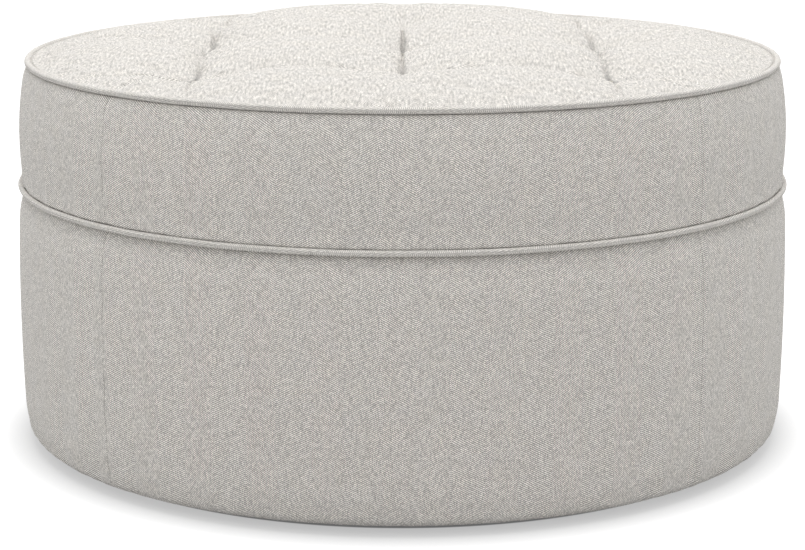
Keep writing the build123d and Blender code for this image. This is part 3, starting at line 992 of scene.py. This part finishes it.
def crown_height(size, x, y):
    """The top's height: pillows under a crowned envelope, with valleys from tuft to tuft."""
    span, half = size.tuft_span, size.tuft_span / 2

    def to_line(away):
        return np.where(away < span, np.minimum(away, span - away), away - span)

    def eased(distance, power):
        return np.sin(np.clip(distance / half, 0, 1) * math.pi / 2) ** power

    def valley(across, along):
        """How much of its height the top loses beside a row of tufts that runs along."""
        line, end = to_line(across), to_line(along)
        outer = across > half
        inside = 1 - (1 - VALLEY) * eased(end, 1.0)
        run_on = np.exp(-((end / np.where(outer, CORNER_VALLEY, OUTER_VALLEY)) ** 1.6))
        past = np.where(outer & (along > span), np.clip(end / 0.05, 0, 1), 0)
        side = 1 - eased(line, PUFF + (CORNER_PUFF - PUFF) * past)
        return side * np.where(along <= span, inside, run_on)

    away_x, away_y = np.abs(x), np.abs(y)
    form = (1 - valley(away_x, away_y)) * (1 - valley(away_y, away_x))
    share = np.clip(np.hypot(x, y) / size.rim_radius, 0, 1)
    lowest = crown_lowest(size, share)
    rim = crown_lowest(size, 1.0)
    envelope = rim + (size.crown - rim) * (1 - share**5.7) ** 1.48
    return size.top_seam + lowest + (envelope - lowest) * form


def pleats(size, x, y):
    """The share of its height that the top loses in the narrow pleats between the tufts."""
    draw = np.random.default_rng(5)
    kept = np.ones_like(x)
    for tuft_x, tuft_y in tuft_places(size):
        for along_x, along_y in ((1, 0), (-1, 0), (0, 1), (0, -1)):
            if max(tuft_x * along_x, tuft_y * along_y) > size.tuft_span / 2:
                continue
            out = np.clip((x - tuft_x) * along_x + (y - tuft_y) * along_y, 0, 1)
            aside = (x - tuft_x) * along_y - (y - tuft_y) * along_x
            bend = np.sin(np.clip(out / 0.11, 0, 1) * math.pi)
            aside = aside - draw.uniform(-1, 1) * PLEAT_WANDER * bend
            width = PLEAT_WIDTH + PLEAT_FLARE * out
            fade = np.exp(-((out / PLEAT_REACH) ** 3.4)) * np.clip(out / 0.004, 0, 1)
            deep = draw.uniform(*PLEAT_SHARES) * fade
            kept *= 1 - deep * np.exp(-np.abs(aside / width) ** 1.5)
            lip = (np.abs(aside) - 3.0 * width) / (1.6 * width)
            kept *= 1 + 0.07 * fade * np.exp(-(lip**2))
    return 1 - kept


def fold_shade_mask(size, x, y):
    """Painted shade in the folds: one at a tuft, less along its pleats, zero elsewhere."""
    deep = np.zeros_like(x)
    within = np.maximum(np.abs(x), np.abs(y)) < size.tuft_span + 0.004
    for tuft_x, tuft_y in tuft_places(size):
        off_x, off_y = np.abs(x - tuft_x), np.abs(y - tuft_y)
        deep = np.maximum(deep, np.exp(-((np.hypot(off_x, off_y) / 0.009) ** 2)))
        for out, aside in ((off_x, off_y), (off_y, off_x)):
            width = FOLD_SHADE_WIDTH + FOLD_SHADE_FLARE * out
            pleat_shade = np.exp(-((aside / width) ** 2) - (out / FOLD_SHADE_REACH) ** 1.8)
            deep = np.maximum(deep, pleat_shade * within)
    return deep


def settled(size):
    """How the cloth puckers when its padding swells between the tufts and the welt, on a grid."""
    x, y = disc_places(SETTLING_STEPS, size.rim_radius - EDGE_GAP)
    start = np.stack([x, y, crown_height(size, x, y) - 0.001], axis=2)
    mesh = mesh_of("settling", start.reshape(-1, 3), grid_faces(SETTLING_STEPS, SETTLING_STEPS))
    piece = added("settling", mesh)
    holds = np.exp(-(((size.rim_radius - np.hypot(x, y)) / 0.006) ** 2))
    for tuft_x, tuft_y in tuft_places(size):
        holds = np.maximum(holds, np.exp(-((np.hypot(x - tuft_x, y - tuft_y) / 0.012) ** 2)))
    group = piece.vertex_groups.new(name=CLOTH["vertex_group_mass"])
    for number, hold in enumerate(np.where(holds > 0.6, 1.0, holds * 0.5).ravel()):
        group.add([number], float(hold), "REPLACE")
    settings = piece.modifiers.new("settle", "CLOTH").settings
    for key, value in CLOTH.items():
        setattr(settings, key, value)
    settings.effector_weights.gravity = 0.0
    scene = bpy.context.scene
    for number in range(SETTLING_FRAMES):
        scene.frame_set(number + 1)
    done = piece.evaluated_get(bpy.context.evaluated_depsgraph_get())
    ends = np.zeros(start.size)
    done.data.vertices.foreach_get("co", ends)
    move = ends.reshape(start.shape) - start
    bpy.data.objects.remove(piece)
    scene.frame_set(1)
    swell = move
    for _ in range(SMOOTHING):
        swell = np.pad(swell, ((1, 1), (1, 1), (0, 0)), mode="edge")
        swell = (swell[:-2] + 2 * swell[1:-1] + swell[2:]) / 4
        swell = (swell[:, :-2] + 2 * swell[:, 1:-1] + swell[:, 2:]) / 4
    move = (move - swell) * (1 - holds[..., None])
    far = np.linalg.norm(move, axis=2, keepdims=True)
    return move * (SETTLING_CAP * np.tanh(far / SETTLING_CAP) / np.maximum(far, 1e-9))


def read_disc(grid, radius, x, y):
    """A disc grid's values at other places of the disc, read between its points."""
    far = np.clip(np.hypot(x, y) / radius, 0, 1)
    turn = np.arctan2(y, x)
    wide = np.abs(np.cos(turn)) > np.abs(np.sin(turn))
    long = far * np.where(wide, np.sign(np.cos(turn)), np.sign(np.sin(turn)))
    slope = np.tan(np.where(wide, turn, math.pi / 2 - turn))
    short = long * np.arctan(slope) * 4 / math.pi
    last = len(grid) - 1
    place = (np.stack([np.where(wide, short, long), np.where(wide, long, short)]) + 1) / 2 * last
    first = np.clip(place.astype(int), 0, last - 1)
    share = place - first
    row, column = first
    down, right = (share * share * (3 - 2 * share))[..., None]
    upper = grid[row, column] * (1 - right) + grid[row, column + 1] * right
    lower = grid[row + 1, column] * (1 - right) + grid[row + 1, column + 1] * right
    return upper * (1 - down) + lower * down


def ripples(size, x, y):
    """Small rumples that run out from the tufts."""
    draw = np.random.default_rng(17)
    total = np.zeros_like(x)
    for tuft_x, tuft_y in tuft_places(size):
        away = np.hypot(x - tuft_x, y - tuft_y)
        turn = np.arctan2(y - tuft_y, x - tuft_x)
        phase = draw.uniform(0, math.tau, 3)
        rumple = np.sin(7 * turn + phase[0]) + 0.7 * np.sin(11 * turn + phase[1])
        rumple += 0.5 * np.sin(17 * turn + phase[2])
        total += RIPPLE * rumple * np.exp(-(((away - 0.030) / 0.024) ** 2))
    return total


class OTTOMAN_OT_tufted_top(bpy.types.Operator):
    """Make the tufted top as one padded piece, from its welt to the seat foam"""

    bl_idname = "ottoman.tufted_top"
    bl_label = "Tufted top"

    def execute(self, context):
        size = context.scene.ottoman_sizes
        edge = size.rim_radius - EDGE_GAP
        x, y = gathered(size, *disc_places(TOP_STEPS, edge))
        share = np.hypot(x, y) / size.rim_radius
        points = np.stack([x, y, crown_height(size, x, y) + ripples(size, x, y)], axis=2)
        points += read_disc(settled(size), edge, x, y)
        lowest = size.top_seam + crown_lowest(size, share)
        over = np.maximum(points[..., 2] - lowest, 0)
        points[..., 2] = lowest + over * (1 - pleats(size, points[..., 0], points[..., 1]))
        mesh = self.closed(size, points)
        # The painted shade of the folds, kept on the top's points for its cloth
        deep = np.zeros(len(mesh.vertices), np.float32)
        deep[: TOP_STEPS**2] = fold_shade_mask(size, points[..., 0], points[..., 1]).ravel()
        mesh.attributes.new("painted_fold_shade", "FLOAT", "POINT").data.foreach_set("value", deep)
        piece = keep(mesh, "top_cloth", "top_cover", "crown_pad")
        return {"FINISHED"}

    def laid_out(self, size, far):
        """How much further out a place lies when the cloth is laid flat."""
        radius = np.linspace(0, size.rim_radius, 400)
        turn = math.radians(20)
        height = crown_height(size, radius * math.cos(turn), radius * math.sin(turn))
        run = along(np.stack([radius, height], axis=1))
        return np.interp(far, radius[1:], run[1:] / radius[1:])

    def closed(self, size, points):
        """The top's grid with its edge turned down and in, and its flat underside."""
        rows, columns, _ = points.shape
        ring = grid_edge(np.arange(rows * columns).reshape(rows, columns))
        places = [points.reshape(-1, 3)]
        faces = [grid_faces(rows, columns)]
        around = places[0][ring, :2]
        around = around / np.linalg.norm(around, axis=1, keepdims=True)
        rim, hem = size.rim_radius, size.rim_radius - size.allowance
        foot, under = size.top_seam + 0.0044, size.top_seam + size.ply_gap
        steps = [(rim, foot + 0.0003), (rim - 0.0008, foot), (hem, foot)]
        steps += [(radius, under) for radius in (hem, 0.3, 0.15, 0.02)]
        for radius, height in steps:
            following = sum(map(len, places)) + np.arange(len(ring))
            places.append(np.column_stack([around * radius, np.full(len(ring), height)]))
            corners = ring, following, np.roll(following, -1), np.roll(ring, -1)
            faces.append(np.stack(corners, axis=1))
            ring = following
        places = np.concatenate(places)
        laid = places[:, :2] * self.laid_out(size, np.hypot(*places[:, :2].T))[:, None]
        return mesh_of("tufted_top", places, np.concatenate(faces), laid, ring[::-1])


# Under the base

STAPLES = 72  # round the dust cloth
DUST_STEPS = 121  # points along each side of the dust cloth's grid
DUST_THICKNESS = 0.0005
HEM_INSET = 0.011  # of the hem's raw edge
SCALLOP = 0.0012  # how far the dust cloth's edge draws in between two staples
HEM_DEPTH = 0.0003
WIRE = (0.0006, 0.0012)  # a staple's wire, across and along its leg
CROWN = (0.005, 0.0, 0.0)  # from the middle of a staple to its end


class OTTOMAN_OT_dust_cover(bpy.types.Operator):
    """Make the black dust cloth, its folded hem and the staples"""

    bl_idname = "ottoman.dust_cover"
    bl_label = "Dust cover"

    def execute(self, context):
        radius = reach("dust_cover")
        level = (low("dust_cover") + high("dust_cover")) / 2
        x, y = disc_places(DUST_STEPS, radius)
        far = np.hypot(x, y)
        turn = np.arctan2(y, x)
        scallop = SCALLOP * (1 - np.cos(turn * STAPLES)) / 2 * np.exp(-((radius - far) / 0.012))
        ease = 1 - scallop / np.maximum(far, 1e-6)
        hem = HEM_DEPTH * np.exp(-(((radius - HEM_INSET - far) / 0.0012) ** 2))
        sag = 0.0003 * waves(turn, 31, [3, 5, 9], 1.0) * np.clip((radius - far) / 0.05, 0, 1)
        z = level + 0.0002 - hem + np.clip(sag, -0.0004, 0.0004)
        points = np.stack([x * ease, -y * ease, z], axis=2)
        mesh = thick_sheet("dust_cloth", points, np.stack([x, y], axis=2), DUST_THICKNESS)
        piece = keep(mesh, "dust_cloth", "dust_cover")
        staples = self.staples(radius)
        return {"FINISHED"}

    def staples(self, radius):
        """Staples round the dust cloth, made by nodes."""
        kinds = {"Radius": "Float", "Height": "Float", "Count": "Int", "Seed": "Int"}
        make = Maker("staples", **kinds, Material="Material")
        circle = {"Vertices": make["Count"], "Radius": make["Radius"]}
        ring = make.add("GeometryNodeMeshCircle", {}, circle)
        ends = {"Start": [-part for part in CROWN], "End": CROWN}
        crown = make.add("GeometryNodeCurvePrimitiveLine", {}, ends)
        staple = make.swept(crown, make.rectangle(*WIRE))
        x, y, _ = make.parts(make.add("GeometryNodeInputPosition"))
        facing = y.math("ARCTAN2", y, x) + math.pi / 2
        limits = {2: -0.14, 3: 0.14, "Seed": make["Seed"]}
        jitter = make.add("FunctionNodeRandomValue", {"data_type": "FLOAT"}, limits, out=1)
        moved = make.moved(ring, make.upward(make["Height"]))
        turn = make.upward(facing + jitter)
        tree = make.finish(make.spread(moved, staple, Rotation=turn))
        values = {
            "Radius": radius - 0.006,
            "Height": low("dust_cover") - 0.0002,
            "Count": STAPLES,
            "Seed": 9,
            "Material": finishes["steel"],
        }
        return keep(made_by_nodes("staples", tree, values), "steel")


# Thread and the pieces that the solids already show


class OTTOMAN_OT_tuft_ties(bpy.types.Operator):
    """Make the twisted twines with the stitch that each one holds a tuft by"""

    bl_idname = "ottoman.tuft_ties"
    bl_label = "Tuft ties"

    def execute(self, context):
        size = context.scene.ottoman_sizes
        names = ("Foot", "Top", "Twine", "Stitch")
        make = Maker("tuft_ties", **{name: "Float" for name in names}, Material="Material")
        twine, stitch = make["Twine"], make["Stitch"]
        tall = make["Top"] - make["Foot"]
        radii = {"Start Radius": twine * 0.5, "End Radius": twine * 0.5}
        winding = {"Resolution": 7, "Rotations": 24.0, "Height": tall, **radii}
        thread = make.circle(6, twine * 0.52)
        first = make.swept(make.add("GeometryNodeCurveSpiral", {}, winding), thread)
        half_turn = {"Geometry": first, "Rotation": (0.0, 0.0, math.pi)}
        second = make.add("GeometryNodeTransform", {}, half_turn)
        arch = {
            "Resolution": 12,
            "Start": make.join(stitch * -1.0, 0.0, tall - twine),
            "Start Handle": make.join(stitch * -0.8, 0.0, tall + twine * 1.6),
            "End Handle": make.join(stitch * 0.8, 0.0, tall + twine * 1.6),
            "End": make.join(stitch, 0.0, tall - twine),
        }
        bar = make.add("GeometryNodeCurvePrimitiveBezierSegment", {"mode": "POSITION"}, arch)
        tie = make.joined(first, second, make.swept(bar, thread))
        points = make.moved(make["Geometry"], make.upward(make["Foot"]))
        tree = make.finish(make.spread(points, tie))
        places = bpy.data.meshes.new("tuft_places")
        places.from_pydata([(x, y, 0.0) for x, y in tuft_places(size)], [], [])
        values = {
            "Foot": low("tuft_twines") + 0.001,
            "Top": size.top_seam + 0.0022,
            "Twine": 0.0009,
            "Stitch": 0.0032,
            "Material": finishes["twine"],
        }
        keep(made_by_nodes("tuft_ties", tree, values, places), "twine", "tuft_twines")
        return {"FINISHED"}


class OTTOMAN_OT_frame_finishes(bpy.types.Operator):
    """Give the frame, the fasteners and the glides their finishes"""

    bl_idname = "ottoman.frame_finishes"
    bl_label = "Frame finishes"

    def execute(self, context):
        slots = {
            "plywood": ("base_ring", "deck_ring", "deck_board"),
            "timber": ("left_deck_rail", "right_deck_rail", *[f"post_{n}" for n in range(1, 9)]),
            "hardboard": ("front_skin", "back_skin"),
            "steel": ("base_screws", "deck_screws", "glide_screws", "tuft_washers"),
            "glide_plastic": ("glides",),
        }
        for slot, nodes in slots.items():
            for node in nodes:
                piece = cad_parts[node]
                piece.data.materials.clear()
                piece.data.materials.append(finishes[slot])
        return {"FINISHED"}


# Panel and run

STEPS = (
    OTTOMAN_OT_stage,
    OTTOMAN_OT_body_cover,
    OTTOMAN_OT_boxing,
    OTTOMAN_OT_welts,
    OTTOMAN_OT_tufted_top,
    OTTOMAN_OT_dust_cover,
    OTTOMAN_OT_tuft_ties,
    OTTOMAN_OT_frame_finishes,
)


class OTTOMAN_PT_panel(bpy.types.Panel):
    """The steps that dress the ottoman, and the sizes and colours that they use"""

    bl_idname = "OTTOMAN_PT_panel"
    bl_label = "Ottoman"
    bl_space_type = "VIEW_3D"
    bl_region_type = "UI"
    bl_category = "Ottoman"

    def draw(self, context):
        for step in STEPS:
            self.layout.operator(step.bl_idname)
        for group in (context.scene.ottoman_sizes, context.scene.ottoman_colours):
            box = self.layout.box()
            for key in group.__annotations__:
                box.prop(group, key)


CLASSES = (OttomanSizes, OttomanColours, *STEPS, OTTOMAN_PT_panel)


def register():
    for each in CLASSES:
        bpy.utils.register_class(each)
    bpy.types.Scene.ottoman_sizes = PointerProperty(type=OttomanSizes)
    bpy.types.Scene.ottoman_colours = PointerProperty(type=OttomanColours)


def unregister():
    del bpy.types.Scene.ottoman_colours
    del bpy.types.Scene.ottoman_sizes
    for each in reversed(CLASSES):
        bpy.utils.unregister_class(each)


def mix_finishes(colours):
    """Makes every material once."""
    yarns = colours.light_yarn, colours.dark_yarn
    # The top cloth takes painted shade in its folds
    finishes["top_cloth"] = woven("top_cloth", *yarns, contrast=0.86, fleck=0.75, fold_shaded=True)
    finishes["side_cloth"] = woven("side_cloth", *yarns, contrast=1.52, gain=1.07)
    finishes["welt_cloth"] = woven("welt_cloth", *yarns, bias=45.0, contrast=0.7)
    finishes["foam"] = foamed("foam", colours.foam)
    finishes["plywood"] = timbered("plywood", colours.plywood, layer=0.0015)
    finishes["timber"] = timbered("timber", colours.timber)
    finishes["hardboard"] = pressed_board("hardboard", colours.hardboard)
    finishes["steel"] = zinc("steel", colours.steel)
    finishes["glide_plastic"] = moulded("glide_plastic", colours.glide)
    finishes["dust_cloth"] = spun("dust_cloth", colours.dust)
    finishes["twine"] = threaded("twine", colours.thread)


def main():
    register()
    mix_finishes(bpy.context.scene.ottoman_colours)
    for step in STEPS:
        category, name = step.bl_idname.split(".")
        getattr(getattr(bpy.ops, category), name)()


if __name__ == "__main__":
    main()
